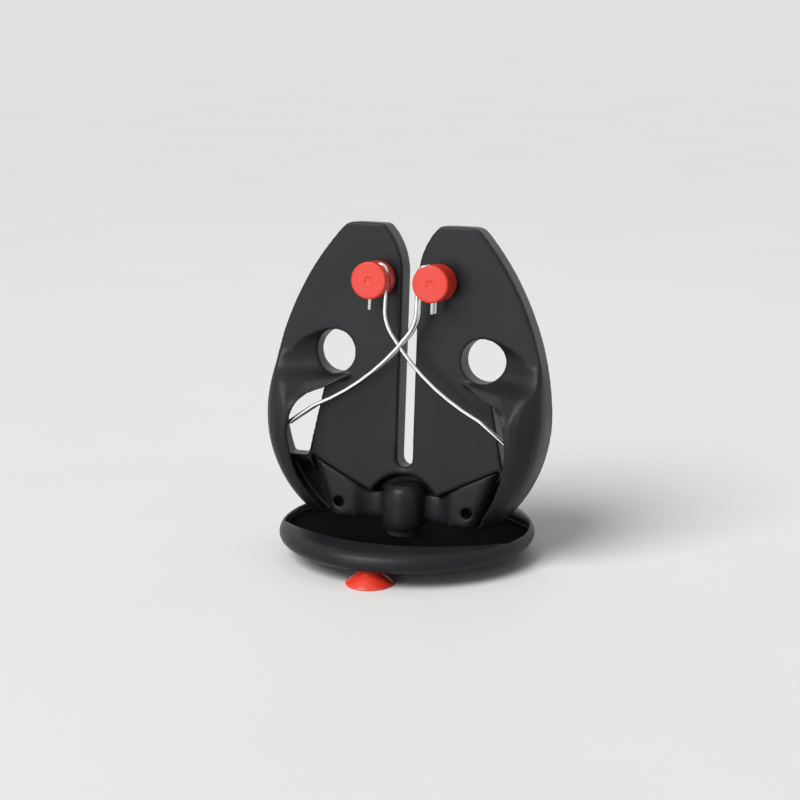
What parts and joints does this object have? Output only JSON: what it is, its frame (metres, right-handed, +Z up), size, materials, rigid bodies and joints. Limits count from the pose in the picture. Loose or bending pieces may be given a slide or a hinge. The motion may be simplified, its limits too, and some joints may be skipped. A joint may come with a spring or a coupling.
{
  "type": "manual knife sharpener",
  "caption": "Standing hand knife sharpener: winged plate with a blade slot and finger holes, crossed sprung steel rods hung from round knobs, on a round suction-cup stand.",
  "frame": {"origin": "on the counter, under the middle of the bounding box", "axes": "+Z up, -Y out of the plate's front face, +X to the right seen from the front"},
  "size_m": [0.1738, 0.1574, 0.1996],
  "materials": {
    "black_plastic": "fine satin grain",
    "red_plastic": "gloss",
    "red_rubber": "smooth",
    "steel": "polished"
  },
  "bodies": {
    "base": {"base_dish": "black_plastic", "post": "black_plastic", "post_screw": "steel", "suction_cup_front": "red_rubber", "suction_cup_back_left": "red_rubber", "suction_cup_back_right": "red_rubber"},
    "body": {"body_shell": "black_plastic", "lower_cover": "black_plastic", "cover_screws": "steel", "left_bushing": "black_plastic", "right_bushing": "black_plastic", "left_spring": "steel", "right_spring": "steel", "left_back_cap": "black_plastic", "right_back_cap": "black_plastic"},
    "left_arm": {"left_knob": "red_plastic", "left_rod": "steel", "left_pivot_pin": "steel", "left_collar": "steel"},
    "right_arm": {"right_knob": "red_plastic", "right_front_rod": "steel", "right_back_rod": "steel", "right_pivot_pin": "steel", "right_collar": "steel"}
  },
  "joints": [
    {"name": "body_lift", "type": "slide", "parent": "base", "child": "body", "axis": [0, 0, 1], "range_m": [0, 0.025]},
    {"name": "left_swing", "type": "hinge", "parent": "body", "child": "left_arm", "pos_m": [-0.0191, 0.0059, 0.16667], "axis": [0, 0.9951, -0.0993], "range_deg": [0, 14], "stiffness_Nm_per_rad": 0.6, "springref_deg": -11.46},
    {"name": "right_swing", "type": "hinge", "parent": "body", "child": "right_arm", "pos_m": [0.0191, 0.0059, 0.16667], "axis": [0, -0.9951, 0.0993], "range_deg": [0, 14], "stiffness_Nm_per_rad": 0.6, "springref_deg": -11.46}
  ]
}
